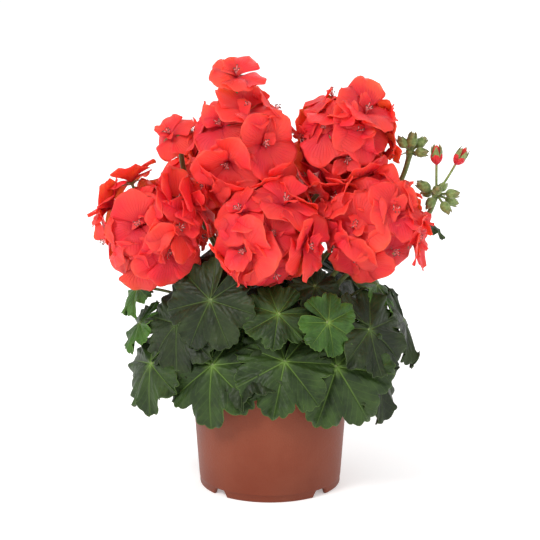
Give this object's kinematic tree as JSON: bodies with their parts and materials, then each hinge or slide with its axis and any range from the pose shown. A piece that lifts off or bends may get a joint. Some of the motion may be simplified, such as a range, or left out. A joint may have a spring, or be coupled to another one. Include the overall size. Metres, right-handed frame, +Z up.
{
  "type": "potted geranium",
  "caption": "Bushy potted geranium: dome-shaped coral-red flower heads on tall stalks above a skirt of lobed green leaves, in a tapered plastic pot that stands on a notched foot ring",
  "frame": {"origin": "the middle of the plant's outer box in plan, on the surface that the pot stands on; the pot's axis is 5.4 mm to the left of it and 10.4 mm in front of it", "axes": "+Z is up, along the pot's axis, +X is the plant's right-hand side seen from the front, and -Y is its front"},
  "size_m": [0.2766, 0.1874, 0.3205],
  "materials": {
    "terracotta_plastic": "satin injection-moulded polypropylene, brown terracotta",
    "potting_soil": "moist, crumbly, with bits of perlite and fibre",
    "woody_stem": "dull brown-green bark with leaf scars",
    "green_stem": "dull, finely hairy green stem",
    "leaf": "soft matt dark green with lighter veins and edge",
    "petals": "soft satin coral red with fine fan-like veins",
    "flower_buds": "dull light green with brownish tips"
  },
  "bodies": {
    "root": {"branch_back_left": "green_stem", "branch_back_right": "green_stem", "branch_front": "green_stem", "branch_left": "green_stem", "branch_right": "green_stem", "flower_head_back_left": "petals", "flower_head_back_right": "petals", "flower_head_buds_right": "flower_buds", "flower_head_buds_upper_right": "flower_buds", "flower_head_front": "petals", "flower_head_left": "petals", "flower_head_right": "petals", "flower_head_small_left": "petals", "flower_head_upper_left": "petals", "flower_head_upper_right": "petals", "flower_stalk_back_left": "green_stem", "flower_stalk_back_right": "green_stem", "flower_stalk_buds_right": "green_stem", "flower_stalk_buds_upper_right": "green_stem", "flower_stalk_front": "green_stem", "flower_stalk_left": "green_stem", "flower_stalk_right": "green_stem", "flower_stalk_small_left": "green_stem", "flower_stalk_upper_left": "green_stem", "flower_stalk_upper_right": "green_stem", "leaf_01": "leaf", "leaf_02": "leaf", "leaf_03": "leaf", "leaf_04": "leaf", "leaf_05": "leaf", "leaf_06": "leaf", "leaf_07": "leaf", "leaf_08": "leaf", "leaf_09": "leaf", "leaf_10": "leaf", "leaf_11": "leaf", "leaf_12": "leaf", "leaf_13": "leaf", "leaf_14": "leaf", "leaf_15": "leaf", "leaf_16": "leaf", "leaf_17": "leaf", "leaf_18": "leaf", "leaf_19": "leaf", "leaf_20": "leaf", "leaf_21": "leaf", "leaf_22": "leaf", "leaf_23": "leaf", "leaf_24": "leaf", "leaf_25": "leaf", "leaf_26": "leaf", "leaf_27": "leaf", "leaf_28": "leaf", "leaf_29": "leaf", "leaf_30": "leaf", "main_stem": "woody_stem", "pot": "terracotta_plastic", "potting_soil": "potting_soil"}
  },
  "joints": []
}
